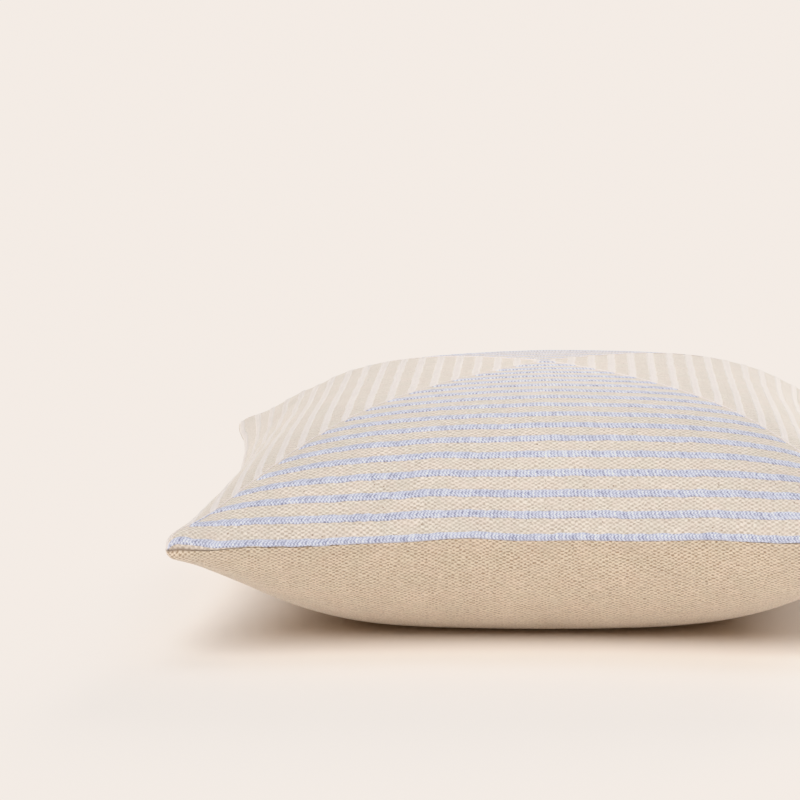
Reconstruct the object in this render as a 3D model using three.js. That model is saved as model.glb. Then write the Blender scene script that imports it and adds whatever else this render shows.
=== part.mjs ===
// A square cushion in its sewn cover, lying on its back panel.
// Millimetres, +Z up. The origin is on the surface it rests on, under the middle of the cushion.
// +X is to the viewer's right and +Y is away from the viewer.
//
// The cover is two square panels joined by one knife-edge seam: the front panel, embroidered with
// stripes that are mitred at the diagonals, and the plain back panel. Each panel is one solid, filled
// from its cloth down or up to the seam, so that the two together are the filled cushion.
//
// A point of a panel is named by its cloth fractions across and along: 0 in the middle of the panel,
// -1 and 1 at its seams.
import * as THREE from "three";

// The cover as it is cut and sewn
const panelSide = 450; // flat, from seam to seam
const panelHalf = panelSide / 2;

// The outline that the seam takes once the cushion is filled
const cornerReach = 214.3; // from the middle to a corner, along X and along Y
const cornerRounding = 6.6; // how far the tip of a filled corner falls short of a sharp one
const cornerRoundingPower = 16;
const drawnIn = { front: 24.8, back: 23.1, left: 24.3, right: 23.7 }; // at the middle of each side
const drawnInPower = 1.1;
const shortCorner = { across: -1, along: 1, short: 5.5, power: 7 }; // the far left corner is pulled in

// How the cloth's width is taken up between the middle and the seam
const takeUp = { share: 0.13, power: 5.2, cornerPower: 2.9 };

// Heights
const seamHeight = 70.5;
const seamTilt = 0.014; // rise towards +X, millimetres for each millimetre
const frontCrown = { height: 74, steepness: 2.31, roundness: 3.26, cornerFullness: 1.51 };
const backCrown = { height: 81, steepness: 2.28, roundness: 3.3, cornerFullness: 1.65 };
const crownLean = { across: 0.032, along: -0.034 }; // fuller to the right and towards the viewer
const floorEasing = 5; // the height over which the back panel bends on to the surface

// The filling in each corner makes a rounded ear: how full it is, how far it reaches from the corner,
// and how soon it rises from the seam
const frontEar = { fullness: 5.6, reach: 26, lip: 2.5 };
const backEar = { fullness: 3.8, reach: 20, lip: 2.5 };

// Where the cloth turns in at the seam, it stands a little proud first
const edgeRoll = { proud: 1.2, width: 9 };
const seamGap = 0.3; // between the two panels

// Uneven places in the front seam's height: where they lie across, how wide they are, and how high.
// They fade out away from that seam.
const seamWaveFading = 6;
const frontSeamWaves = [
  { across: -0.86, width: 0.06, rise: -1.4 },
  { across: -0.62, width: 0.12, rise: -1.1 },
  { across: -0.2, width: 0.1, rise: 2.0 },
  { across: 0.44, width: 0.1, rise: 1.1 },
];

// Soft troughs (and one ridge) pressed into the front panel. The fractions across and along give the
// middle of each, turn is its direction from +X in degrees, and the rest are millimetres.
const troughs = [
  { across: -0.74, along: 0.42, turn: 62, length: 48, width: 13, depth: 2.0 },
  { across: -0.66, along: 0.64, turn: 38, length: 34, width: 10, depth: 1.6 },
  { across: -0.86, along: 0.1, turn: 78, length: 36, width: 12, depth: 2.0 },
  { across: 0.78, along: -0.52, turn: 118, length: 46, width: 14, depth: 2.4 },
  { across: 0.86, along: 0.34, turn: 80, length: 60, width: 24, depth: 4.0 },
  { across: -0.3, along: -0.9, turn: 84, length: 26, width: 12, depth: -1.4 },
];
const troughFading = 3; // a trough has its full depth from a third of the crown's height upwards

// The embroidery: stripes along every side, each a flat-topped rib of thread
const stripe = { count: 18, pitch: 12.66, firstFromSeam: 5.1, width: 5.6, height: 1, flank: 0.8 };

// How finely the solids are faceted
const sides = 4;
const pointsAlongSide = 14;
const cornerCrowding = 0.5; // 0 spaces the points evenly, 1 crowds them most towards the corners
const backRingDistances = [0, 4, 9, 16, 25, 36, 48, 60, 74, 90, 110, 135, 165, 195];

const clamp = (value, low, high) => Math.min(high, Math.max(low, value));

// A crown's rise from 0 at the seam to 1 in the middle: straight at first, then rounding over.
function rise(fromSeam, { steepness, roundness }) {
  const curve = (t) => (steepness * t) / (1 + (steepness * t) ** roundness) ** (1 / roundness);
  return curve(fromSeam) / curve(1);
}

// Two rises joined so that the lower one leads, which gives a corner its ridge.
function joined(riseAcross, riseAlong, fullness) {
  const least = 1e-4; // keeps the powers finite at the seam
  const sum = Math.max(riseAcross, least) ** -fullness + Math.max(riseAlong, least) ** -fullness - 1;
  return sum ** (-1 / fullness);
}

function fullnessAt(across, along, crown) {
  const riseAcross = rise(1 - Math.abs(across), crown);
  const riseAlong = rise(1 - Math.abs(along), crown);
  return joined(riseAcross, riseAlong, crown.cornerFullness);
}

// One plan coordinate: how far out the seam lies here, times the share of it that the cloth has reached.
function planCoordinate(fraction, other, lowSide, highSide) {
  const drawn = fraction < 0 ? lowSide : highSide;
  const outline = cornerReach - drawn * (1 - other ** 2) ** drawnInPower;
  const slack = 1 - Math.abs(other) ** takeUp.cornerPower;
  const taken = fraction - Math.sign(fraction) * Math.abs(fraction) ** takeUp.power;
  const tip = cornerRounding * Math.abs(fraction * other) ** cornerRoundingPower;
  return outline * (fraction + takeUp.share * slack * taken) - Math.sign(fraction) * tip;
}

function planPoint(across, along) {
  const x = planCoordinate(across, along, drawnIn.left, drawnIn.right);
  const y = planCoordinate(along, across, drawnIn.front, drawnIn.back);
  const towards = Math.max(0, across * shortCorner.across) * Math.max(0, along * shortCorner.along);
  return [x - shortCorner.across * shortCorner.short * towards ** shortCorner.power, y];
}

const bell = (distance, width) => Math.exp(-((distance / width) ** 2));

// The height at which the two panels meet, carried on inside the cushion.
function seamHeightAt(across, along) {
  const [x] = planPoint(across, along);
  const nearFront = clamp(-along, 0, 1) ** seamWaveFading;
  const waves = frontSeamWaves.map((wave) => wave.rise * bell(across - wave.across, wave.width));
  return seamHeight + seamTilt * x + nearFront * waves.reduce((sum, wave) => sum + wave, 0);
}

function troughDepthAt(x, y) {
  let depth = 0;
  for (const trough of troughs) {
    const [centreX, centreY] = planPoint(trough.across, trough.along);
    const turn = THREE.MathUtils.degToRad(trough.turn);
    const [offsetX, offsetY] = [x - centreX, y - centreY];
    const lengthwise = offsetX * Math.cos(turn) + offsetY * Math.sin(turn);
    const sideways = -offsetX * Math.sin(turn) + offsetY * Math.cos(turn);
    depth += trough.depth * bell(lengthwise, trough.length) * bell(sideways, trough.width);
  }
  return depth;
}

// An ear's height rises steeply from both seams and fades away from the corner.
function earHeightAt(across, along, ear) {
  const fromSide = (1 - Math.abs(across)) * panelHalf;
  const fromEnd = (1 - Math.abs(along)) * panelHalf;
  const risen = (1 - Math.exp(-fromSide / ear.lip)) * (1 - Math.exp(-fromEnd / ear.lip));
  return ear.fullness * risen * bell(Math.hypot(fromSide, fromEnd), ear.reach);
}

function frontClothPoint(across, along) {
  const [x, y] = planPoint(across, along);
  const lean = 1 + crownLean.across * across + crownLean.along * along;
  const fullness = fullnessAt(across, along, frontCrown);
  const pressed = troughDepthAt(x, y) * Math.min(1, troughFading * fullness);
  const height = frontCrown.height * lean * fullness - pressed + earHeightAt(across, along, frontEar);
  return new THREE.Vector3(x, y, seamHeightAt(across, along) + height);
}

// The back panel hangs below the seam and lies flat where it meets the surface.
function backClothPoint(across, along) {
  const [x, y] = planPoint(across, along);
  const depth = backCrown.height * fullnessAt(across, along, backCrown);
  const hanging = seamHeightAt(across, along) - depth - earHeightAt(across, along, backEar);
  const eased = (clamp(hanging, -floorEasing, floorEasing) + floorEasing) ** 2 / (4 * floorEasing);
  return new THREE.Vector3(x, y, Math.max(eased, hanging));
}

// How far the surface stands off the cloth: the roll beside the seam, and the thread of a stripe.
function rollAt(distance) {
  return distance < edgeRoll.width ? edgeRoll.proud * Math.sin((Math.PI * distance) / edgeRoll.width) : 0;
}

function threadAt(distance) {
  const nearest = clamp(Math.round((distance - stripe.firstFromSeam) / stripe.pitch), 0, stripe.count - 1);
  const fromCentreLine = Math.abs(distance - stripe.firstFromSeam - nearest * stripe.pitch);
  return stripe.height * clamp((stripe.width / 2 - fromCentreLine) / stripe.flank, 0, 1);
}

// Distances from the seam at which a ring of the front panel is set: both feet and both shoulders
// of every stripe.
function frontRingDistances() {
  const distances = [0];
  const shoulder = stripe.width / 2 - stripe.flank;
  for (let row = 0; row < stripe.count; row += 1) {
    const centreLine = stripe.firstFromSeam + row * stripe.pitch;
    for (const offset of [-stripe.width / 2, -shoulder, shoulder, stripe.width / 2]) {
      distances.push(centreLine + offset);
    }
  }
  return distances.filter((distance) => distance < panelHalf - stripe.width / 2);
}

// The cloth fractions of a square ring's points, in order round the cushion seen from above.
// They stand closer together towards the corners.
function ringFractions(distance) {
  const half = 1 - distance / panelHalf;
  const places = [];
  for (let side = 0; side < sides; side += 1) {
    for (let step = 0; step < pointsAlongSide; step += 1) {
      const even = (2 * step) / pointsAlongSide - 1;
      const place = THREE.MathUtils.lerp(even, Math.sin((even * Math.PI) / 2), cornerCrowding);
      const turned = [[place, -1], [1, place], [-place, 1], [-1, -place]][side];
      places.push(turned.map((fraction) => fraction * half));
    }
  }
  return places;
}

// The cloth's outward normal, from two short steps across it.
function outwardNormal(clothPoint, across, along, facing) {
  const step = 1e-3;
  const inside = 1 - step;
  const [a, b] = [clamp(across, -inside, inside), clamp(along, -inside, inside)];
  const acrossStep = clothPoint(a + step, b).sub(clothPoint(a - step, b));
  const alongStep = clothPoint(a, b + step).sub(clothPoint(a, b - step));
  return acrossStep.cross(alongStep).normalize().multiplyScalar(facing);
}

// One panel as a closed solid: rings of its cloth from the seam to the middle, and a shallow cone
// from the seam to the middle that closes it against the other panel.
// facing is 1 for the front panel and -1 for the back panel.
function panelSolid(clothPoint, ringDistances, standOff, facing) {
  const ringSize = sides * pointsAlongSide;
  const points = [];
  for (const distance of ringDistances) {
    for (const [across, along] of ringFractions(distance)) {
      const normal = outwardNormal(clothPoint, across, along, facing);
      const point = clothPoint(across, along).addScaledVector(normal, standOff(distance));
      if (distance === 0) point.z += (facing * seamGap) / 2;
      points.push(point);
    }
  }
  const top = clothPoint(0, 0);
  top.z += facing * standOff(panelHalf);
  const clothMiddle = points.push(top) - 1;
  const seamMiddle = points.push(new THREE.Vector3(0, 0, seamHeightAt(0, 0) + (facing * seamGap) / 2)) - 1;

  const faces = [];
  const face = (...corners) => faces.push(...(facing > 0 ? corners : corners.reverse()));
  for (let ring = 0; ring < ringDistances.length; ring += 1) {
    for (let i = 0; i < ringSize; i += 1) {
      const next = (i + 1) % ringSize;
      const [outer, outerNext] = [ring * ringSize + i, ring * ringSize + next];
      if (ring === 0) face(seamMiddle, outerNext, outer);
      if (ring === ringDistances.length - 1) {
        face(outer, outerNext, clothMiddle);
      } else {
        const [inner, innerNext] = [outer + ringSize, outerNext + ringSize];
        face(outer, outerNext, innerNext);
        face(outer, innerNext, inner);
      }
    }
  }
  const geometry = new THREE.BufferGeometry().setFromPoints(points).setIndex(faces);
  geometry.computeVertexNormals();
  return geometry;
}

function panel(name, geometry, colour) {
  const material = new THREE.MeshStandardMaterial({ color: colour, roughness: 0.95, metalness: 0 });
  const mesh = new THREE.Mesh(geometry, material);
  mesh.name = name;
  return mesh;
}

const frontStandOff = (distance) => rollAt(distance) + threadAt(distance);

const cushion = new THREE.Group();
cushion.add(
  panel("front_panel", panelSolid(frontClothPoint, frontRingDistances(), frontStandOff, 1), 0xe6d9c3),
  panel("back_panel", panelSolid(backClothPoint, backRingDistances, rollAt, -1), 0xd9c6a8),
);

export default cushion;
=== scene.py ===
# A square cushion in its sewn canvas cover, lying on its back panel on a pale floor.
# The front panel is embroidered with stripes that are mitred at the diagonals.
# Everything is in metres, with the floor at height 0, +X to the right and +Y away from the camera.
import math

import bpy
import numpy as np
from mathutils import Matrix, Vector


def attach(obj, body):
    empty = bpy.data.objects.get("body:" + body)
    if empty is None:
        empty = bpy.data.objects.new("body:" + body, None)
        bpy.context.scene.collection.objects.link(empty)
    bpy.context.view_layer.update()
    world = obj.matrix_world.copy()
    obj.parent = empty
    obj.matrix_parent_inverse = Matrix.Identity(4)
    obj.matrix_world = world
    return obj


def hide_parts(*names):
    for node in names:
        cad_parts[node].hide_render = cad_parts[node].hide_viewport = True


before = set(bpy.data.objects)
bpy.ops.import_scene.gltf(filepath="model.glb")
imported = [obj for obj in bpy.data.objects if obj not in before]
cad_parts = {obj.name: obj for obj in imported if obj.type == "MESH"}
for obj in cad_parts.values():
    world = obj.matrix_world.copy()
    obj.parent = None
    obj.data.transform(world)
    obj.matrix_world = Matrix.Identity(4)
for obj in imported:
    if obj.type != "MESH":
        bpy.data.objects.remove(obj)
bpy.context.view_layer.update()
print("frame loaded")

mm = 0.001
tiny = 1e-9  # is added to a length that is divided by, and what is below it counts as 0

# The cover is two squares of cloth. A place on either one is named by its fractions across (X) and
# along (Y), which run from -1 to 1 from seam to seam.
cloth = {
    "side": 450 * mm,
    "cornerReach": 214.3 * mm,  # from the middle to a corner, along X and along Y
    "cornerRounding": {"pull": 6.6 * mm, "power": 16},  # three corners' tips are rounded off in plan
    "frontEar": {"fullness": 5.6 * mm, "reach": 26 * mm, "lip": 2.5 * mm},  # the filling in a corner
    "backEar": {"fullness": 3.8 * mm, "reach": 20 * mm, "lip": 2.5 * mm},
    "drawnIn": {"front": 24.8 * mm, "back": 23.1 * mm, "left": 24.3 * mm, "right": 23.7 * mm},
    "drawnInPower": 1.1,
    # The far left corner is pulled in, keeps its sharp tip and has less filling than the others.
    "shortCorner": {"across": -1, "along": 1, "short": 4.6 * mm, "power": 8, "lessFilling": 0.6},
    "sideHollow": {"along": 0.68, "width": 0.32, "depth": 2.6 * mm, "power": 2},  # in the left side
    "takeUp": {"share": 0.13, "power": 5.2, "cornerPower": 2.9},  # how the cloth bunches up in plan
    "seamHeight": 70.5 * mm,
    "seamTilt": 0.014,  # how much the seam rises to the right, for its distance
    "frontCrown": {"height": 74 * mm, "steepness": 2.31, "roundness": 3.26, "fullness": 1.51},
    "backCrown": {"height": 81 * mm, "steepness": 2.28, "roundness": 3.3, "fullness": 1.65},
    "leanAcross": 0.032,  # how much fuller the front is to the right, and how much less at the far side
    "leanAlong": -0.034,
    "floorEasing": 5 * mm,  # the height over which the back panel bends on to the floor
}
halfSide = cloth["side"] / 2

# Uneven places in the front seam: where they lie across, how wide they are, how high they lift it
seamWaves = [
    {"across": -1.0, "width": 0.035, "rise": -1.5 * mm},
    {"across": -0.93, "width": 0.035, "rise": -0.4 * mm},
    {"across": -0.86, "width": 0.06, "rise": -1.4 * mm},
    {"across": -0.62, "width": 0.12, "rise": -1.1 * mm},
    {"across": -0.2, "width": 0.1, "rise": 2.0 * mm},
    {"across": 0.44, "width": 0.1, "rise": 1.1 * mm},
]
seamWaveFading = 6  # the power with which they fade away from that seam

# Soft troughs in the front panel, or ridges where the depth is less than 0. turn is in degrees from
# +X, and the other lengths are in millimetres.
troughs = [
    {"across": -0.74, "along": 0.42, "turn": 62, "length": 48, "width": 13, "depth": 2.0},
    {"across": -0.66, "along": 0.64, "turn": 38, "length": 34, "width": 10, "depth": 1.6},
    {"across": -0.86, "along": 0.1, "turn": 78, "length": 36, "width": 12, "depth": 2.0},
    {"across": 0.78, "along": -0.52, "turn": 118, "length": 46, "width": 14, "depth": 2.4},
    {"across": 0.86, "along": 0.34, "turn": 80, "length": 60, "width": 24, "depth": 4.0},
    {"across": -0.3, "along": -0.9, "turn": 84, "length": 26, "width": 12, "depth": -1.4},
]
troughFading = 3  # how soon they reach their depth on the way from the seam


def bell(distance, width):
    return np.exp(-((distance / width) ** 2))


def rise(fromSeam, crown):
    # A crown's rise from 0 at the seam to 1 in the middle: s t / (1 + (s t)^n)^(1/n), scaled to end at 1.
    steep, power = crown["steepness"], crown["roundness"]
    height = steep * fromSeam / (1 + (steep * fromSeam) ** power) ** (1 / power)
    return height * (1 + steep ** power) ** (1 / power) / steep


def fullnessAt(across, along, crown):
    # The two rises p and q joined so that the lower one leads: (p^-k + q^-k - 1)^(-1/k).
    least = 1e-4  # keeps the powers finite at the seam
    p = np.maximum(rise(1 - np.abs(across), crown), least)
    q = np.maximum(rise(1 - np.abs(along), crown), least)
    k = crown["fullness"]
    return (p ** -k + q ** -k - 1) ** (-1 / k)


def planCoordinate(fraction, other, lowSide, highSide):
    # How far out the seam lies here, times the share of it that the cloth has reached.
    drawn = np.where(fraction < 0, cloth["drawnIn"][lowSide], cloth["drawnIn"][highSide])
    outline = cloth["cornerReach"] - drawn * (1 - other ** 2) ** cloth["drawnInPower"]
    takeUp = cloth["takeUp"]
    slack = 1 - np.abs(other) ** takeUp["cornerPower"]
    taken = fraction - np.sign(fraction) * np.abs(fraction) ** takeUp["power"]
    return outline * (fraction + takeUp["share"] * slack * taken)


def planPoint(across, along):
    # Both plan coordinates, with three corners rounded off and the far left one pulled in. Its pull
    # grows with a power of |across along|, and the hollow beside it is a bell along the left side.
    x = planCoordinate(across, along, "left", "right")
    y = planCoordinate(along, across, "front", "back")
    short, hollow, rounding = cloth["shortCorner"], cloth["sideHollow"], cloth["cornerRounding"]
    towards = np.maximum(0, across * short["across"]) * np.maximum(0, along * short["along"])
    pull = rounding["pull"] * np.abs(across * along) ** rounding["power"] * (towards <= 0)
    nearLeft = np.maximum(0, -across) ** hollow["power"]
    hollowed = hollow["depth"] * nearLeft * bell(along - hollow["along"], hollow["width"])
    shortened = short["across"] * short["short"] * towards ** short["power"] - hollowed
    return x - shortened - np.sign(across) * pull, y - np.sign(along) * pull


def earHeight(across, along, ear):
    # The filling in each corner: it rises steeply from both seams and fades away from the corner.
    short = cloth["shortCorner"]
    full = 1 - short["lessFilling"] * (across * short["across"] > 0) * (along * short["along"] > 0)
    fromSide, fromEnd = (1 - np.abs(across)) * halfSide, (1 - np.abs(along)) * halfSide
    risen = (1 - np.exp(-fromSide / ear["lip"])) * (1 - np.exp(-fromEnd / ear["lip"]))
    return ear["fullness"] * full * risen * bell(np.hypot(fromSide, fromEnd), ear["reach"])


def seamHeightAt(across, along):
    # The seam's height: a slight tilt to the right, and the uneven places along its near side.
    x, _ = planPoint(across, along)
    nearFront = np.clip(-along, 0, 1) ** seamWaveFading
    waves = sum(wave["rise"] * bell(across - wave["across"], wave["width"]) for wave in seamWaves)
    return cloth["seamHeight"] + cloth["seamTilt"] * x + nearFront * waves


def troughDepthAt(x, y):
    # The sum of the troughs, each a bell of its own length and width round its centre line.
    depth = np.zeros_like(x)
    for trough in troughs:
        centreX, centreY = planPoint(np.array(trough["across"]), np.array(trough["along"]))
        turn = math.radians(trough["turn"])
        lengthwise = (x - centreX) * math.cos(turn) + (y - centreY) * math.sin(turn)
        sideways = -(x - centreX) * math.sin(turn) + (y - centreY) * math.cos(turn)
        shape = bell(lengthwise, trough["length"] * mm) * bell(sideways, trough["width"] * mm)
        depth += trough["depth"] * mm * shape
    return depth


def frontCloth(across, along):
    # The front panel stands on the seam: its crown, leaning a little, its corners' filling, less troughs.
    x, y = planPoint(across, along)
    lean = 1 + cloth["leanAcross"] * across + cloth["leanAlong"] * along
    full = fullnessAt(across, along, cloth["frontCrown"])
    pressed = troughDepthAt(x, y) * np.minimum(1, troughFading * full)
    z = seamHeightAt(across, along) + cloth["frontCrown"]["height"] * lean * full - pressed
    z = z + earHeight(across, along, cloth["frontEar"])
    return np.stack([x, y, z], axis=-1)


def backCloth(across, along):
    # The back panel hangs from the seam and bends on to the floor over a small height e each way, where
    # its height is (z + e)^2 / (4 e).
    x, y = planPoint(across, along)
    hanging = cloth["backCrown"]["height"] * fullnessAt(across, along, cloth["backCrown"])
    z = seamHeightAt(across, along) - hanging - earHeight(across, along, cloth["backEar"])
    easing = cloth["floorEasing"]
    eased = (np.clip(z, -easing, easing) + easing) ** 2 / (4 * easing)
    return np.stack([x, y, np.maximum(eased, z)], axis=-1)


def closedGrid(size):
    # Two square grids of points that share their border: their point numbers, and the faces between.
    front = np.arange(size * size).reshape(size, size)
    back = front.copy()
    back[1:-1, 1:-1] = size * size + np.arange((size - 2) ** 2).reshape(size - 2, size - 2)

    def quads(grid):
        return np.stack([grid[:-1, :-1], grid[1:, :-1], grid[1:, 1:], grid[:-1, 1:]], -1).reshape(-1, 4)

    return front, back, np.concatenate([quads(front), quads(back)[:, ::-1]])


def meshPiece(name, points, faces, cornerUv=None, materials=(), materialOfFace=None):
    # A mesh from whole arrays: faces is one row of point numbers for each face.
    mesh = bpy.data.meshes.new(name)
    mesh.vertices.add(len(points))
    mesh.vertices.foreach_set("co", np.asarray(points, np.float32).ravel())
    mesh.loops.add(faces.size)
    mesh.loops.foreach_set("vertex_index", faces.astype(np.int32).ravel())
    mesh.polygons.add(len(faces))
    mesh.polygons.foreach_set("loop_start", np.arange(0, faces.size, faces.shape[1], dtype=np.int32))
    mesh.polygons.foreach_set("use_smooth", np.ones(len(faces), bool))
    if materialOfFace is not None:
        mesh.polygons.foreach_set("material_index", materialOfFace.astype(np.int32))
    for material in materials:
        mesh.materials.append(material)
    if cornerUv is not None:
        layer = mesh.uv_layers.new(name="cloth")
        layer.uv.foreach_set("vector", np.asarray(cornerUv, np.float32).ravel())
    mesh.update(calc_edges=True)
    piece = bpy.data.objects.new(name, mesh)
    bpy.context.scene.collection.objects.link(piece)
    return piece


def markPaintedSeamShade(piece, values):
    # How deep in the seam each point lies, from 0 to 1, for the painted shade on the seam's line.
    layer = piece.data.attributes.new("paintedSeamShade", "FLOAT", "POINT")
    layer.data.foreach_set("value", np.asarray(values, np.float32))


# The cloth simulation that gives the cover its wrinkles: the flat squares, sewn and blown up
inflation = {
    "points": 91,  # along each side of a panel
    "frames": 26,
    "pressure": 5.0,  # this and the next three are in the units of Blender's cloth
    "quality": 6,
    "stretch": 30,
    "bending": 0.4,
    "hold": 0.06,  # how strongly each point is held to the form above
    "finest": 1.3,  # grid cells; what is finer than this is left out
    "coarsest": 5.0,  # and so is what is coarser than this
    "share": 0.4,  # how much of the wrinkles is kept
    "cap": 2.0 * mm,  # what they level off at before that
    "towardsMiddle": 0.9,  # how much of them is lost towards the middle
    "clearOfFloor": 8 * mm,  # the height by which they are whole
}


def smoothed(grid, cells):
    # A Gaussian blur of a grid of vectors, one direction after the other, with the border repeated.
    reach = int(3 * cells)  # past three widths the weights are next to nothing
    weights = np.exp(-0.5 * (np.arange(-reach, reach + 1) / cells) ** 2)
    weights /= weights.sum()
    for axis in (0, 1):
        pad = [(0, 0)] * 3
        pad[axis] = (reach, reach)
        wide = np.pad(grid, pad, mode="reflect", reflect_type="odd")
        size = grid.shape[axis]
        shifted = [np.take(wide, np.arange(i, i + size), axis=axis) for i in range(2 * reach + 1)]
        grid = sum(weight * part for weight, part in zip(weights, shifted))
    return grid


def inflated(start, flat, faces):
    # Blender's cloth begins at the start with the lengths of the flat squares, and pressure fills it.
    bag = meshPiece("inflated_bag", start, faces)
    bag.shape_key_add(name="Basis")
    flatKey = bag.shape_key_add(name="flat")
    flatKey.data.foreach_set("co", flat.astype(np.float32).ravel())
    flatKey.value = 0  # it gives the lengths only
    group = bag.vertex_groups.new(name="hold")
    group.add(list(range(len(start))), inflation["hold"], "REPLACE")
    modifier = bag.modifiers.new("cloth", "CLOTH")
    settings = modifier.settings
    settings.quality = inflation["quality"]
    settings.tension_stiffness = settings.compression_stiffness = inflation["stretch"]
    settings.bending_stiffness = inflation["bending"]
    settings.use_pressure = True
    settings.uniform_pressure_force = inflation["pressure"]
    settings.effector_weights.gravity = 0
    settings.vertex_group_mass = "hold"
    settings.rest_shape_key = flatKey
    scene = bpy.context.scene
    modifier.point_cache.frame_start, modifier.point_cache.frame_end = 1, inflation["frames"]
    for frameNumber in range(1, inflation["frames"] + 1):
        scene.frame_set(frameNumber)
    evaluated = bag.evaluated_get(bpy.context.evaluated_depsgraph_get())
    end = np.zeros(start.size, np.float32)
    evaluated.data.vertices.foreach_get("co", end)
    scene.frame_set(1)
    bpy.data.objects.remove(bag)
    return end.reshape(-1, 3)


def inflatedWrinkles():
    # The fine departure of the inflated squares from the form above, for the front and the back panel.
    size = inflation["points"]
    place = np.linspace(-1, 1, size)
    across, along = np.meshgrid(place, place, indexing="ij")
    frontRows, backRows, faces = closedGrid(size)
    start = np.zeros((backRows.max() + 1, 3))
    flat = np.zeros_like(start)
    for rows, surface in ((backRows, backCloth), (frontRows, frontCloth)):
        start[rows] = surface(across, along)
        flat[rows] = np.stack([across * halfSide, along * halfSide, 0 * across], -1)
    moved = inflated(start, flat, faces) - start
    outermost = np.maximum(np.abs(across), np.abs(along))
    panels = []
    for rows in (frontRows, backRows):
        fine = smoothed(moved[rows], inflation["finest"]) - smoothed(moved[rows], inflation["coarsest"])
        fine = fine * (1 - inflation["towardsMiddle"] * (1 - outermost ** 2))[..., None]
        length = np.linalg.norm(fine, axis=-1, keepdims=True) + tiny
        cap = inflation["cap"]
        panels.append(inflation["share"] * fine / length * cap * np.tanh(length / cap))
    print("inflated, largest move %.1f mm" % (np.linalg.norm(moved, axis=-1).max() / mm))
    return panels


def sampleGrid(grid, row, column):
    # Catmull-Rom interpolation of a grid of points at fractional row and column numbers.
    wide = np.pad(grid, [(1, 1), (1, 1), (0, 0)], mode="reflect", reflect_type="odd")

    def weights(fraction):
        f, f2, f3 = fraction, fraction ** 2, fraction ** 3
        return [(-f + 2 * f2 - f3) / 2, (2 - 5 * f2 + 3 * f3) / 2, (f + 4 * f2 - 3 * f3) / 2, (f3 - f2) / 2]

    lowRow = np.clip(np.floor(row).astype(int), 0, grid.shape[0] - 2)
    lowColumn = np.clip(np.floor(column).astype(int), 0, grid.shape[1] - 2)
    rowWeights, columnWeights = weights(row - lowRow), weights(column - lowColumn)
    total = 0
    for i in range(4):
        for j in range(4):
            weight = rowWeights[i] * columnWeights[j]
            total = total + weight[..., None] * wide[lowRow + i, lowColumn + j]
    return total


# The cover's own mesh: finer towards the seam, where the cloth rolls in
coverMesh = {"points": 221, "crowding": 0.7, "lookup": 4001}
seamLip = {
    "proud": {"front": 2.0 * mm, "back": 1.2 * mm, "left": 0.8 * mm, "right": 1.2 * mm},
    "closing": 0.6 * mm,  # how far the two lips come towards each other
    "width": 1.9 * mm,  # from the seam to where the lip is fullest
    "turnPower": 30,  # how tightly the lip turns a corner
    "shade": 0.85,  # how dark the painted shade on the seam's line is, and how wide
    "shadeWidth": 0.7 * mm,
}


def crowded(t):
    # Even steps t from -1 to 1 moved towards both ends: part t, part sin(t pi / 2).
    share = coverMesh["crowding"]
    return (1 - share) * t + share * np.sin(t * math.pi / 2)


def gridNumber(fraction):
    # The number of the cover mesh's row or column at a cloth fraction, with the crowding undone.
    t = np.linspace(-1, 1, coverMesh["lookup"])
    return np.interp(fraction, crowded(t), (t + 1) / 2 * (coverMesh["points"] - 1))


def wavesAlong(place, seed, waves, shortest, longest):
    # Smooth seeded unevenness between about -1 and 1: a sum of sines of random length and phase.
    draw = np.random.default_rng(seed)
    lengths = draw.uniform(shortest, longest, waves)
    phases = draw.uniform(0, 2 * math.pi, waves)
    return sum(np.sin(2 * math.pi * place / n + p) for n, p in zip(lengths, phases)) / math.sqrt(waves)


def coverPanel(surface, wrinkles, facing):
    # One panel's points: the form, its wrinkles, and the lip where the cloth rolls into the seam.
    fraction = crowded(np.linspace(-1, 1, coverMesh["points"]))
    across, along = np.meshgrid(fraction, fraction, indexing="ij")
    points = surface(across, along)
    if wrinkles is not None:
        row, column = ((part + 1) / 2 * (len(wrinkles) - 1) for part in (across, along))
        lifted = np.clip(points[..., 2:] / inflation["clearOfFloor"], 0, 1)
        points = points + sampleGrid(wrinkles, row, column) * lifted
    outermost = np.maximum(np.abs(across), np.abs(along))
    fromSeam = (1 - outermost) * halfSide
    power = seamLip["turnPower"]
    outX, outY = np.sign(across) * np.abs(across) ** power, np.sign(along) * np.abs(along) ** power
    length = np.hypot(outX, outY) + tiny
    bump = fromSeam / seamLip["width"] * np.exp(1 - fromSeam / seamLip["width"])
    proud = seamLip["proud"]
    points[..., 0] += np.where(across < 0, proud["left"], proud["right"]) * bump * outX / length
    points[..., 1] += np.where(along < 0, proud["front"], proud["back"]) * bump * outY / length
    points[..., 2] -= facing * seamLip["closing"] * bump
    atSeam = outermost > 1 - tiny
    points[..., 2][atSeam] = seamHeightAt(across, along)[atSeam]
    points[..., 2] = np.maximum(points[..., 2], 0)
    return points, np.stack([across, along], -1) * halfSide


def unitNormals(grid, row, column, step=0.35):
    # Normals from the difference of points a part of a grid cell to either side.
    acrossStep = sampleGrid(grid, row + step, column) - sampleGrid(grid, row - step, column)
    alongStep = sampleGrid(grid, row, column + step) - sampleGrid(grid, row, column - step)
    normal = np.cross(acrossStep, alongStep)
    return normal / (np.linalg.norm(normal, axis=-1, keepdims=True) + tiny * mm)


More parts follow.
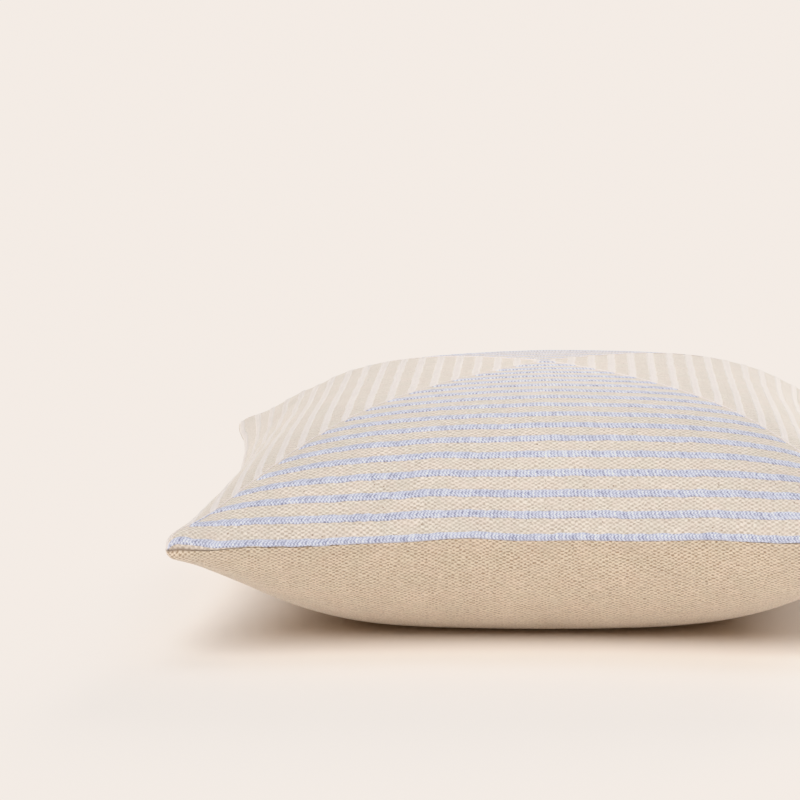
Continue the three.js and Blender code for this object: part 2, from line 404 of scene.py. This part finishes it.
# The embroidery. Rows are counted from the seam to the middle, in each quarter of the panel.
stripe = {
    "rows": 18,
    "pitch": 12.66 * mm,
    "firstFromSeam": 5.08 * mm,
    "width": 5.5 * mm,
    # The middle of the thread stands this high on each quarter
    "height": {"front": 0.6 * mm, "right": 0.42 * mm, "back": 0.2 * mm, "left": 0.42 * mm},
    "tuck": 0.25 * mm,  # how far its edges lie inside the canvas
    "stitch": 2.04 * mm,  # one chevron, along the stripe
    "stepsPerStitch": 4,
    "stepsAcross": 8,
    "chevron": 0.75,  # how far a stitch runs along the stripe for its distance from the centre line
    "straightening": 40,  # the power with which the chevrons straighten at the ends
    "profile": {"edge": 3, "roundness": 0.55},  # across the stripe: (1 - |x|^edge)^roundness
    "ridge": 0.16,  # the share of the height that lies between the stitches and their tops
    "perStitch": (0.86, 1.08),  # that share is more or less from stitch to stitch
    "spine": 0.12,  # the share that the centre line is sunk
    "endTaper": 1.6 * mm,
    "unevenEnds": 1.5 * mm,  # how much sooner a stripe may end, and the shares of it that are drawn
    "endSpread": (-0.2, 1),
    "ragged": 0.07,  # how much its width varies, and over which lengths
    "raggedWaves": {"waves": 6, "shortest": 3 * mm, "longest": 20 * mm},
    "wander": 0.22 * mm,  # how far a stripe strays from its line, and over which lengths
    "wanderWaves": {"waves": 5, "shortest": 14 * mm, "longest": 60 * mm},
    "nearestSeam": 0.25 * mm,  # no thread comes nearer to the seam
    "slackPower": 3,  # how late the rows take up the spacing of the corners
    "endCurl": {"depth": 2.6 * mm, "power": 50},  # where the first row turns down into the corner
    "seeds": {"quarter": 100, "ragged": 50, "ends": 9},  # a row's seed is 100 for each quarter and its number
}
# Where a row lies in the middle of a side compared with even spacing: drawn towards the seam first,
# and away from it further up. At the corners it is only the first row that strays.
rowDrift = {
    "atSeam": -2.6 * mm,
    "seamRows": 1.3,
    "further": 1.5 * mm,
    "furtherRow": 4.3,
    "furtherRows": 1.8,
    "cornerSlack": -0.9 * mm,
    "cornerNarrowing": 0.4,  # the share of its width that the first row loses there
}
# The thread that runs on beside the diagonal, from the end of one stripe to the next
travel = {
    "radius": 0.42 * mm,
    "inset": 0.5 * mm,  # from the diagonal
    "sag": 0.35 * mm,  # how much further in it lies between the stripes
    "height": 0.12 * mm,
    "overlap": 0.08,  # how far it runs on under both stripes, as a share of the way between them
    "sunkEnds": 0.5 * mm,
    "steps": 8,
    "sides": 6,
    # In which gaps between rows there is one, counted from the seam
    "gaps": {"front": [1], "right": range(stripe["rows"] - 1),
             "back": [1], "left": range(stripe["rows"] - 1)},
}
quarterTurns = {"front": 0, "right": 1, "back": 2, "left": 3}
stripeUvStep = 0.5  # metres between the rows on the thread's flat coordinates, so that no two are alike


def turned(place, outward, turns):
    # The front quarter's fractions (place, -outward), turned to another quarter of the panel.
    return [(place, -outward), (outward, place), (-place, outward), (-outward, -place)][turns]


def rowDistance(row, place):
    # A row's distance from the seam: even spacing, and the drift, which fades out towards the corners.
    drift = rowDrift["atSeam"] * math.exp(-row / rowDrift["seamRows"])
    drift += rowDrift["further"] * bell(row - rowDrift["furtherRow"], rowDrift["furtherRows"])
    corner = rowDrift["cornerSlack"] * math.exp(-row / rowDrift["seamRows"])
    towardsCorner = np.abs(place) ** stripe["slackPower"]
    drift = drift * (1 - towardsCorner) + corner * towardsCorner
    return stripe["firstFromSeam"] + row * stripe["pitch"] + drift


def onPanel(panelGrid, distance, alongStripe, turns, height):
    # The point at a distance from the seam and along a stripe, raised off the cloth.
    across, along = turned(alongStripe / halfSide, 1 - distance / halfSide, turns)
    row, column = gridNumber(across), gridNumber(along)
    return sampleGrid(panelGrid, row, column) + unitNormals(panelGrid, row, column) * height[..., None]


def tubeFaces(rings, sides, start):
    # Quads round a tube whose rings of points follow each other.
    ring, side = np.meshgrid(np.arange(rings - 1), np.arange(sides), indexing="ij")
    here, turn = start + ring * sides, (side + 1) % sides
    return np.stack([here + side, here + side + sides, here + turn + sides, here + turn], -1).reshape(-1, 4)


def stripeRow(panelGrid, row, turns, rowHeight, start):
    # One stripe: a flat tube whose upper side carries the chevrons. Its columns of points follow the
    # stitches, so each stitch is a groove, a flank, a top and a flank again.
    longest = halfSide - stripe["firstFromSeam"] - row * stripe["pitch"]
    columns = int(round(2 * longest / stripe["stitch"])) * stripe["stepsPerStitch"]
    alongRow = np.linspace(-1, 1, columns + 1)[:, None]
    acrossRow = np.linspace(-1, 1, stripe["stepsAcross"] + 1)[None, :]
    seeds = stripe["seeds"]
    seed = seeds["quarter"] * turns + row
    wander = stripe["wander"] * wavesAlong(alongRow * longest, seed, **stripe["wanderWaves"])
    ragged = wavesAlong(alongRow * longest, seed + seeds["ragged"], **stripe["raggedWaves"])
    firstRow = 1 if row == 0 else 0
    narrowing = firstRow * rowDrift["cornerNarrowing"] * np.abs(alongRow) ** stripe["slackPower"]
    offset = acrossRow * stripe["width"] / 2 * (1 + stripe["ragged"] * ragged) * (1 - narrowing)
    curl = stripe["endCurl"]
    distance = rowDistance(row, alongRow) + offset + wander
    distance = distance - firstRow * curl["depth"] * np.abs(alongRow) ** curl["power"]
    distance = np.maximum(distance, stripe["nearestSeam"])

    # Where the ends lie, and the chevrons' lean
    draw = np.random.default_rng(seed + seeds["ends"])
    ends = stripe["unevenEnds"] * draw.uniform(*stripe["endSpread"], 2)
    half = halfSide - distance - np.where(alongRow < 0, ends[0], ends[1]) * (1 - firstRow)
    lean = stripe["chevron"] * np.abs(offset) * (1 - np.abs(alongRow) ** stripe["straightening"])
    position = half * alongRow + lean

    # The height: rounded across, ridged along, and tucked into the canvas at its edges and ends
    profile = stripe["profile"]
    rounded = (1 - np.abs(acrossRow) ** profile["edge"]) ** profile["roundness"]
    fromEnd = np.clip((1 - np.abs(alongRow)) * longest / stripe["endTaper"], 0, 1)
    stitchNumber = np.arange(columns + 1)[:, None] / stripe["stepsPerStitch"]
    perStitch = draw.uniform(*stripe["perStitch"], columns // stripe["stepsPerStitch"] + 2)
    perStitch = perStitch[np.floor(stitchNumber).astype(int)]
    top = np.abs(np.sin(math.pi * stitchNumber))
    spine = 1 - stripe["spine"] * (np.abs(acrossRow) < 0.5 / stripe["stepsAcross"])
    relief = (1 - stripe["ridge"] + stripe["ridge"] * top * perStitch) * spine
    height = rowHeight * rounded * relief * np.sqrt(fromEnd)
    height = height - stripe["tuck"] * (rounded < tiny) - stripe["tuck"] * (fromEnd < tiny)
    points = onPanel(panelGrid, distance, position, turns, height)

    sides = stripe["stepsAcross"] + 1
    faces = tubeFaces(columns + 1, sides, start)
    ring = np.arange(sides)
    caps = [start + ring, start + columns * sides + ring[::-1]]
    uvAlong = np.broadcast_to(stitchNumber * stripe["stitch"] + row * stripeUvStep, distance.shape)
    uvAcross = np.broadcast_to(acrossRow * stripe["width"] / 2, distance.shape)
    return points.reshape(-1, 3), faces, caps, np.stack([uvAlong, uvAcross], -1).reshape(-1, 2)


def travelThread(panelGrid, row, end, turns, start):
    # The round thread beside the diagonal, at the end (-1 or 1) of this row and the next: its rings of
    # points stand square to the diagonal, so both plan directions take the ring's width over sqrt(2).
    step = np.linspace(-travel["overlap"], 1 + travel["overlap"], travel["steps"])[:, None]
    turn = np.linspace(0, 2 * math.pi, travel["sides"], endpoint=False)[None, :]
    ringOut, ringUp = travel["radius"] * np.cos(turn), travel["radius"] * np.sin(turn)
    distance = stripe["firstFromSeam"] + (row + step) * stripe["pitch"]
    sag = travel["sag"] * np.sin(math.pi * step)
    position = end * (halfSide - distance - travel["inset"] - sag)
    height = travel["height"] + ringUp + 0 * distance
    height = height - np.where((step < 0) | (step > 1), travel["sunkEnds"], 0)
    sideways = ringOut / math.sqrt(2)
    points = onPanel(panelGrid, distance + sideways, position + end * ringOut / math.sqrt(2), turns, height)
    faces = tubeFaces(travel["steps"], travel["sides"], start)
    ring = np.arange(travel["sides"])
    last = start + (travel["steps"] - 1) * travel["sides"]
    caps = [start + ring, last + ring[::-1]]
    if end < 0:  # the tube is a mirror image there, so its faces are turned over
        faces, caps = faces[:, ::-1], [cap[::-1] for cap in caps]
    uvAlong = np.broadcast_to(step * stripe["pitch"], height.shape)
    uvAcross = np.broadcast_to(stripe["width"] + ringUp, height.shape)
    return points.reshape(-1, 3), faces, caps, np.stack([uvAlong, uvAcross], -1).reshape(-1, 2)


def embroideredQuarter(name, panelGrid, turns, rowHeight, gaps, material):
    # All stripes of one quarter, and the threads between their ends, as one mesh of triangles.
    points, triangles, uv, count = [], [], [], 0
    for row in range(stripe["rows"]):
        parts = [stripeRow(panelGrid, row, turns, rowHeight, count)]
        count += len(parts[0][0])
        for end in (-1, 1) if row in gaps else ():
            parts.append(travelThread(panelGrid, row, end, turns, count))
            count += len(parts[-1][0])
        for partPoints, quads, caps, partUv in parts:
            points.append(partPoints)
            uv.append(partUv)
            triangles += [quads[:, [0, 1, 2]], quads[:, [0, 2, 3]]]
            triangles += [np.stack([np.full(len(cap) - 2, cap[0]), cap[1:-1], cap[2:]], -1) for cap in caps]
    faces = np.concatenate(triangles)
    return meshPiece(name, np.concatenate(points), faces, np.concatenate(uv)[faces.ravel()], [material])


# The materials. Their node groups work in millimetres on the flat cloth, and a scale is how many waves
# of a noise there are in one of them. A range says what part of a noise is taken and stretched to what.
canvas = {
    "warpPitch": 2.0,
    "weftPitch": 1.33,
    "wideStray": {"scale": 0.1, "amount": 2.6},  # how the yarns stray from their lines
    "fineStray": {"scale": 0.42, "amount": 1.9},
    "fullness": 0.14,  # how much more room the yarns take than the gaps between them
    "steepness": 0.65,
    "warpUnevenness": (0.5, 0.05, 1.0),  # noise drawn out along the yarns, for their thickness
    "weftUnevenness": (0.06, 0.8, 1.0),
    "thickness": 0.3,
    "fibre": {"scale": 1.0, "detail": 3.0, "share": 0.8},
    "yarnByYarn": 0.2,
    "middle": 1.3,  # the height whose share of the yarn's colour is the level, and how fast it grows
    "gain": 0.9,
    "level": 0.55,
    "wear": {"scale": 0.08, "detail": 2.0, "range": (0.35, 0.65, 0.7, 1.15)},
    "mottle": {"scale": 0.035, "detail": 3.0, "range": (0.3, 0.7, 0.965, 1.035)},
    "tint": {"scale": 0.07, "detail": 2.0, "range": (0.35, 0.65, 0.0, 1.0)},
    "tints": [(0.985, 1.0, 0.985, 1), (1.01, 0.985, 0.985, 1)],
    "husk": {"scale": 0.36, "strayScale": 0.8, "strayAmount": 1.2, "edge": (0.2, 0.08),
             "colour": (0.2, 0.1, 0.05, 1)},
    "roughness": (0.4, 1.9, 0.95, 0.82),
}
thread = {
    "stray": {"scale": 0.55, "amount": 1.3},
    "fibre": {"scale": 1.6, "detail": 3.0, "share": 0.6},
    "centreDip": (0.0, 0.16, -0.22, 0.0),  # from the stripe's centre line outwards
    "middle": 0.78,
    "gain": 0.95,
    "level": 0.55,
    "looseness": {"scale": 0.09, "detail": 2.0, "range": (0.35, 0.65, 0.65, 1.15)},
    "mottle": {"scale": 0.05, "detail": 2.0, "range": (0.3, 0.7, 0.96, 1.04)},
    "roughness": (0.4, 1.3, 0.85, 0.6),
}


def nodeIn(tree, kind, inputs=(), **settings):
    # One shader node: settings are its properties, inputs its sockets by name or number.
    node = tree.nodes.new("ShaderNode" + kind)
    for key, value in settings.items():
        setattr(node, key, value)
    for key, value in dict(inputs).items():
        if isinstance(value, bpy.types.NodeSocket):
            tree.links.new(value, node.inputs[key])
        else:
            node.inputs[key].default_value = value
    return node


def calc(tree, operation, *values, **settings):
    return nodeIn(tree, "Math", enumerate(values), operation=operation, **settings).outputs[0]


def vectorCalc(tree, operation, *values):
    return nodeIn(tree, "VectorMath", enumerate(values), operation=operation).outputs[0]


def blendColour(tree, share, first, second, mode="MIX"):
    # The mix node's sockets 6 and 7 are its two colours, and 2 is the colour that comes out.
    node = nodeIn(tree, "Mix", {"Factor": share}, data_type="RGBA", blend_type=mode)
    for socket, value in ((node.inputs[6], first), (node.inputs[7], second)):
        if isinstance(value, bpy.types.NodeSocket):
            tree.links.new(value, socket)
        else:
            socket.default_value = value
    return node.outputs[2]


def newGroup(name, inputs, outputs):
    # A node group: its tree, its inputs to read from and its outputs to link to.
    tree = bpy.data.node_groups.new(name, "ShaderNodeTree")
    for way, sockets in (("INPUT", inputs), ("OUTPUT", outputs)):
        for socketName, kind in sockets:
            tree.interface.new_socket(socketName, in_out=way, socket_type="NodeSocket" + kind)
    source = tree.nodes.new("NodeGroupInput").outputs
    target = tree.nodes.new("NodeGroupOutput").inputs
    return tree, source, target


def scaled(tree, vector, factor):
    return nodeIn(tree, "VectorMath", {0: vector, "Scale": factor}, operation="SCALE").outputs[0]


def noise(tree, place, scale, detail=2.0, output="Fac"):
    return nodeIn(tree, "TexNoise", {"Vector": place, "Scale": scale, "Detail": detail}).outputs[output]


def chanceIn(tree, across, along):
    # A random number for each whole cell of two coordinates.
    cell = nodeIn(tree, "CombineXYZ", {0: calc(tree, "FLOOR", across), 1: calc(tree, "FLOOR", along)})
    return nodeIn(tree, "TexWhiteNoise", {"Vector": cell.outputs[0]}, noise_dimensions="2D").outputs[0]


def ranged(tree, value, fromMin, fromMax, toMin=0.0, toMax=1.0):
    inputs = {"Value": value, "From Min": fromMin, "From Max": fromMax, "To Min": toMin, "To Max": toMax}
    return nodeIn(tree, "MapRange", inputs).outputs[0]


def blotches(tree, place, kind):
    # Soft random blotches: one noise, stretched to its range.
    return ranged(tree, noise(tree, place, kind["scale"], kind["detail"]), *kind["range"])


def pushedAbout(tree, place, scale, amount):
    # The place moved by a smooth random offset of up to about half the amount each way.
    offset = vectorCalc(tree, "ADD", noise(tree, place, scale, 1.0, "Color"), (-0.5, -0.5, -0.5))
    return vectorCalc(tree, "ADD", place, scaled(tree, offset, amount))


def buildCanvasWeave():
    # Plain weave on flat cloth coordinates, in millimetres. The weft's floats stand high in every other
    # cell of a checkerboard, 1/2 + sin(x) sin(y) / 2, and in the cells between them the warp lies low
    # in the shade. Yarn of uneven thickness, fibres, mottling and flecks of husk break it up.
    tree, source, target = newGroup(
        "canvasWeave",
        [("Cloth", "Vector"), ("Flecks", "Float"), ("Contrast", "Float"),
         ("Yarn", "Color"), ("Shadow", "Color")],
        [("Color", "Color"), ("Height", "Float"), ("Roughness", "Float")])
    flat = scaled(tree, source["Cloth"], 1 / mm)
    place = flat
    for stray in (canvas["wideStray"], canvas["fineStray"]):
        place = pushedAbout(tree, place, stray["scale"], stray["amount"])
    split = nodeIn(tree, "SeparateXYZ", {0: place}).outputs
    warpNumber = calc(tree, "DIVIDE", split[0], canvas["warpPitch"])
    weftNumber = calc(tree, "DIVIDE", split[1], canvas["weftPitch"])
    warp = calc(tree, "SINE", calc(tree, "MULTIPLY", warpNumber, math.pi))
    weft = calc(tree, "SINE", calc(tree, "MULTIPLY", weftNumber, math.pi))
    crossing = calc(tree, "ADD", calc(tree, "MULTIPLY", warp, weft), canvas["fullness"])
    size = calc(tree, "POWER", calc(tree, "ABSOLUTE", crossing), canvas["steepness"])
    over = calc(tree, "MULTIPLY_ADD", calc(tree, "MULTIPLY", calc(tree, "SIGN", crossing), size), 0.5, 0.5)
    thick = calc(tree, "ADD", noise(tree, vectorCalc(tree, "MULTIPLY", flat, canvas["warpUnevenness"]), 1.0),
                 noise(tree, vectorCalc(tree, "MULTIPLY", flat, canvas["weftUnevenness"]), 1.0))
    height = calc(tree, "MULTIPLY_ADD", thick, canvas["thickness"], over)
    chance = chanceIn(tree, warpNumber, weftNumber)
    height = calc(tree, "MULTIPLY_ADD", chance, canvas["yarnByYarn"], height)
    fibre = noise(tree, flat, canvas["fibre"]["scale"], canvas["fibre"]["detail"])
    height = calc(tree, "MULTIPLY_ADD", fibre, canvas["fibre"]["share"], height)
    relief = calc(tree, "SUBTRACT", height, canvas["middle"])
    relief = calc(tree, "MULTIPLY", relief, blotches(tree, flat, canvas["wear"]))
    relief = calc(tree, "MULTIPLY", relief, source["Contrast"])
    # Painted shade: the colour runs from the yarn's colour down to the shadow colour where the weave lies low
    lit = calc(tree, "MULTIPLY_ADD", relief, canvas["gain"], canvas["level"], use_clamp=True)
    colour = blendColour(tree, lit, source["Shadow"], source["Yarn"])
    colour = scaled(tree, colour, blotches(tree, flat, canvas["mottle"]))
    tint = blendColour(tree, blotches(tree, flat, canvas["tint"]), *canvas["tints"])
    colour = blendColour(tree, 1.0, colour, tint, "MULTIPLY")
    husk = canvas["husk"]
    huskPlace = pushedAbout(tree, flat, husk["strayScale"], husk["strayAmount"])
    cells = nodeIn(tree, "TexVoronoi", {"Vector": huskPlace, "Scale": husk["scale"]}).outputs
    cellChance = nodeIn(tree, "SeparateXYZ", {0: cells["Color"]}).outputs[0]
    chosen = calc(tree, "LESS_THAN", cellChance, source["Flecks"])
    spot = calc(tree, "MULTIPLY", ranged(tree, cells["Distance"], *husk["edge"]), chosen)
    tree.links.new(blendColour(tree, spot, colour, husk["colour"]), target["Color"])
    tree.links.new(height, target["Height"])
    tree.links.new(ranged(tree, height, *canvas["roughness"]), target["Roughness"])
    return tree


def buildPlaitedThread():
    # A plait of fine stitches in two lanes that meet on the stripe's centre line. With n the stitch's
    # number and s the distance from the centre line in lanes, the strands rise and dip as
    # -cos(2 pi n) cos(2 pi (s - 1/4)), so the small pits of neighbouring strands are staggered.
    tree, source, target = newGroup(
        "plaitedThread",
        [("Cloth", "Vector"), ("Top", "Color"), ("PaintedGrooveShade", "Color"), ("Mottle", "Float")],
        [("Color", "Color"), ("Height", "Float"), ("Roughness", "Float")])
    flat = scaled(tree, source["Cloth"], 1 / mm)
    place = pushedAbout(tree, flat, thread["stray"]["scale"], thread["stray"]["amount"])
    split = nodeIn(tree, "SeparateXYZ", {0: place}).outputs
    number = calc(tree, "DIVIDE", split[0], stripe["stitch"] / mm)
    dip = calc(tree, "COSINE", calc(tree, "MULTIPLY", number, 2 * math.pi))
    sideways = calc(tree, "DIVIDE", calc(tree, "ABSOLUTE", split[1]), stripe["width"] / 2 / mm)
    lane = calc(tree, "SINE", calc(tree, "MULTIPLY", sideways, 2 * math.pi))
    plait = calc(tree, "MULTIPLY_ADD", calc(tree, "MULTIPLY", dip, lane), -0.5, 0.5)
    fibre = noise(tree, flat, thread["fibre"]["scale"], thread["fibre"]["detail"])
    height = calc(tree, "MULTIPLY_ADD", fibre, thread["fibre"]["share"], plait)
    height = calc(tree, "ADD", height, ranged(tree, sideways, *thread["centreDip"]))
    relief = calc(tree, "SUBTRACT", height, thread["middle"])
    relief = calc(tree, "MULTIPLY", relief, blotches(tree, flat, thread["looseness"]))
    chance = chanceIn(tree, calc(tree, "MULTIPLY", number, 2.0), calc(tree, "MULTIPLY", sideways, 2.0))
    relief = calc(tree, "MULTIPLY_ADD", calc(tree, "SUBTRACT", chance, 0.5), source["Mottle"], relief)
    # Painted shade: the colour runs from the Top colour down to the dark groove colour where the strands dip
    # and along the centre line
    lit = calc(tree, "MULTIPLY_ADD", relief, thread["gain"], thread["level"], use_clamp=True)
    colour = blendColour(tree, lit, source["PaintedGrooveShade"], source["Top"])
    colour = scaled(tree, colour, blotches(tree, flat, thread["mottle"]))
    tree.links.new(colour, target["Color"])
    tree.links.new(height, target["Height"])
    tree.links.new(ranged(tree, height, *thread["roughness"]), target["Roughness"])
    return tree


canvasWeave, plaitedThread = buildCanvasWeave(), buildPlaitedThread()

# Each finish: its node group with what it is given, the depth of its relief, and how much paler it is
# in the middle of the panel, which is painted light on the upturned crown
finishes = {
    "front_canvas": {
        "group": canvasWeave, "bump": 0.3 * mm, "towardsMiddle": 0.22,
        "values": {"Yarn": (0.85, 0.765, 0.67, 1), "Shadow": (0.39, 0.305, 0.23, 1),
                   "Flecks": 0.14, "Contrast": 0.85},
    },
    # The back panel is the same canvas as the front. Its warmer, lighter yarn and the other values that
    # differ from the front's are painted light, for the warm light the floor throws on to it.
    "back_canvas": {
        "group": canvasWeave, "bump": 0.3 * mm, "towardsMiddle": 0.0,
        "values": {"Yarn": (0.90, 0.765, 0.60, 1), "Shadow": (0.34, 0.22, 0.12, 1),
                   "Flecks": 0.14, "Contrast": 1.4},
    },
    "blue_thread": {
        "group": plaitedThread, "bump": 0.2 * mm, "towardsMiddle": 0.22,
        "values": {"Top": (0.765, 0.815, 1.0, 1), "PaintedGrooveShade": (0.17, 0.182, 0.31, 1), "Mottle": 0.5},
    },
    "white_thread": {
        "group": plaitedThread, "bump": 0.2 * mm, "towardsMiddle": 0.22,
        "values": {"Top": (0.89, 0.825, 0.80, 1), "PaintedGrooveShade": (0.66, 0.59, 0.555, 1), "Mottle": 0.3},
    },
}
# What all four share. The seam's line is painted shade: a dark colour laid over the cloth by how deep in the
# seam it lies.
cottonLook = {
    "sheen": 0.9,
    "sheenRoughness": 0.6,
    "sheenTint": (1.0, 0.95, 0.89, 1),
    "gloss": 0.25,
    "seamShade": (0.17, 0.105, 0.065, 1),
    "paintedLightFrom": 190 * mm,  # from the middle, where the painted light on the crown starts and where it is full
    "paintedLightTo": 30 * mm,
}


def clothMaterial(name, finish):
    material = bpy.data.materials.new(name)
    material.use_nodes = True
    tree = material.node_tree
    tree.nodes.clear()
    uv = nodeIn(tree, "UVMap", uv_map="cloth").outputs[0]
    weave = nodeIn(tree, "Group", node_tree=finish["group"])
    tree.links.new(uv, weave.inputs["Cloth"])
    for key, value in finish["values"].items():
        weave.inputs[key].default_value = value
    relief = {"Height": weave.outputs["Height"], "Strength": 1.0, "Distance": finish["bump"]}
    bump = nodeIn(tree, "Bump", relief)
    place = vectorCalc(tree, "MULTIPLY", nodeIn(tree, "TexCoord").outputs["Object"], (1, 1, 0))
    fromMiddle = nodeIn(tree, "VectorMath", {0: place}, operation="LENGTH").outputs["Value"]
    # Painted light: the colour is made paler towards the middle of the panel, so the upturned crown comes out
    # lighter
    paintedLightRange = cottonLook["paintedLightFrom"], cottonLook["paintedLightTo"], 1.0, 1.0 + finish["towardsMiddle"]
    paintedLight = ranged(tree, fromMiddle, *paintedLightRange)
    # Painted shade: the seam's line is darkened by how deep in the seam each point lies
    paintedSeamShade = nodeIn(tree, "Attribute", attribute_name="paintedSeamShade").outputs["Fac"]
    colour = blendColour(tree, paintedSeamShade, scaled(tree, weave.outputs["Color"], paintedLight), cottonLook["seamShade"])
    surface = nodeIn(tree, "BsdfPrincipled", {
        "Base Color": colour, "Roughness": weave.outputs["Roughness"], "Normal": bump.outputs[0],
        "Sheen Weight": cottonLook["sheen"], "Sheen Roughness": cottonLook["sheenRoughness"],
        "Sheen Tint": cottonLook["sheenTint"], "Specular IOR Level": cottonLook["gloss"]})
    tree.links.new(surface.outputs[0], nodeIn(tree, "OutputMaterial").inputs[0])
    return material


materials = {name: clothMaterial(name, finish) for name, finish in finishes.items()}
print("materials made")

# The cover
frontWrinkles, backWrinkles = inflatedWrinkles()
frontPoints, clothPlace = coverPanel(frontCloth, frontWrinkles, 1)
backPoints, _ = coverPanel(backCloth, backWrinkles, -1)
frontRows, backRows, coverFaces = closedGrid(coverMesh["points"])
coverPoints = np.zeros((backRows.max() + 1, 3))
coverPoints[backRows] = backPoints
coverPoints[frontRows] = frontPoints
facesPerPanel = len(coverFaces) // 2
placeOfPoint = np.zeros((len(coverPoints), 2))
placeOfPoint[backRows] = clothPlace
placeOfPoint[frontRows] = clothPlace
coverUv = placeOfPoint[coverFaces.ravel()]
cornersPerPanel = coverFaces[:facesPerPanel].size
coverUv[cornersPerPanel:] += (0, 1.0)  # a metre further on, so that the two panels' weaves aren't alike
cover = meshPiece("cushion_cover", coverPoints, coverFaces, coverUv,
                  [materials["front_canvas"], materials["back_canvas"]], np.repeat([0, 1], facesPerPanel))
# How deep in the seam each point lies, for the painted shade on the seam's line
fromSeam = (1 - np.abs(placeOfPoint / halfSide).max(axis=1)) * halfSide
markPaintedSeamShade(cover, seamLip["shade"] * np.exp(-((fromSeam / seamLip["shadeWidth"]) ** 2)))
print("cover made, %d faces" % len(coverFaces))

# The embroidery
quarters = []
for quarter, turns in quarterTurns.items():
    material = materials["blue_thread" if quarter in ("front", "back") else "white_thread"]
    rowHeight, gaps = stripe["height"][quarter], travel["gaps"][quarter]
    quarters.append(embroideredQuarter("stripes_" + quarter, frontPoints, turns, rowHeight, gaps, material))
print("embroidery made, %d triangles" % sum(len(piece.data.polygons) for piece in quarters))

# The floor and the light
studio = {
    "floorSize": 60.0,
    "floorColour": (0.955, 0.892, 0.836, 1),
    "horizonColour": (1.6, 0.95, 0.45, 1),
    "skyColour": (0.86, 1.0, 1.12, 1),
    "skyFrom": 0.1,  # the sine of the height at which the horizon's colour starts to give way
    "skyTo": 0.6,
    "skyStrength": 0.3,
    # Each light: its strength, its spread, its tilt from overhead towards the camera, and its swing
    # to the left of the camera, where it is negative. All angles are in degrees.
    "lights": {
        "front": {"strength": 2.19, "spread": 42, "tilt": 42, "swing": -22},
        "overhead": {"strength": 0.36, "spread": 30, "tilt": -5, "swing": 0},
        "behind": {"strength": 0.84, "spread": 22, "tilt": -68, "swing": -22},
    },
    # The brightest the picture may get: the floor is lit past it, so that it comes out even.
    "brightest": (0.905, 0.838, 0.783),
    "shoulder": [(0.83, 0.83), (1.05, 0.985), (1.1, 1.0)],  # the tone curve's points, in shares of that
}
floorHalf = studio["floorSize"] / 2
floorPoints = np.array([(-1, -1, 0), (1, -1, 0), (1, 1, 0), (-1, 1, 0)]) * floorHalf
floorMaterial = bpy.data.materials.new("floor")
floorMaterial.use_nodes = True
floorSurface = floorMaterial.node_tree.nodes["Principled BSDF"]
floorSurface.inputs["Base Color"].default_value = studio["floorColour"]
floorSurface.inputs["Roughness"].default_value = 1.0
floorSurface.inputs["Specular IOR Level"].default_value = 0.0
floor = meshPiece("floor", floorPoints, np.array([[0, 1, 2, 3]]), None, [floorMaterial])

world = bpy.data.worlds.new("studio")
bpy.context.scene.world = world
world.use_nodes = True
sky = world.node_tree
direction = nodeIn(sky, "SeparateXYZ", {0: nodeIn(sky, "TexCoord").outputs["Generated"]}).outputs[2]
height = ranged(sky, direction, studio["skyFrom"], studio["skyTo"])
sky.links.new(blendColour(sky, height, studio["horizonColour"], studio["skyColour"]),
              sky.nodes["Background"].inputs[0])
sky.nodes["Background"].inputs[1].default_value = studio["skyStrength"]
for name, values in studio["lights"].items():
    light = bpy.data.lights.new(name, "SUN")
    light.energy = values["strength"]
    light.angle = math.radians(values["spread"])
    lamp = bpy.data.objects.new(name, light)
    lamp.rotation_euler = (math.radians(values["tilt"]), 0, math.radians(values["swing"]))
    bpy.context.scene.collection.objects.link(lamp)

view = bpy.context.scene.view_settings
view.view_transform = "Standard"
view.look = "None"
view.use_curve_mapping = True
view.curve_mapping.extend = "HORIZONTAL"
for curve, brightest in zip(view.curve_mapping.curves, studio["brightest"]):
    curve.points[1].location = (1.0, brightest)
    for taken, given in studio["shoulder"]:
        curve.points.new(min(1.0, taken * brightest), given * brightest)
view.curve_mapping.update()

# The camera: a long lens a little above the cushion, which stands to the right of the picture
camera = {
    "distance": 2.1135,  # from the middle of the seam's plane
    "elevation": 10.33,  # degrees, as the turn to the right
    "turn": 0.51,
    "aim": (-88.5 * mm, 0, 119.4 * mm),
    "lens": 154.4,  # in millimetres, as the sensor's width
    "sensor": 36,
    "farthest": 200,
}
lens = bpy.data.cameras.new("camera")
lens.lens, lens.sensor_width = camera["lens"], camera["sensor"]
lens.clip_end = camera["farthest"]
viewer = bpy.data.objects.new("camera", lens)
lift, swing = math.radians(camera["elevation"]), math.radians(camera["turn"])
towards = Vector((math.sin(swing) * math.cos(lift), -math.cos(swing) * math.cos(lift), math.sin(lift)))
viewer.location = towards * camera["distance"] + Vector((0, 0, cloth["seamHeight"]))
viewer.rotation_euler = (Vector(camera["aim"]) - viewer.location).to_track_quat("-Z", "Y").to_euler()
bpy.context.scene.collection.objects.link(viewer)
bpy.context.scene.camera = viewer
print("floor, light and camera set")

# What stands for what
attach(cover, "root")
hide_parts("front_panel", "back_panel")
for piece in quarters:
    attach(piece, "root")
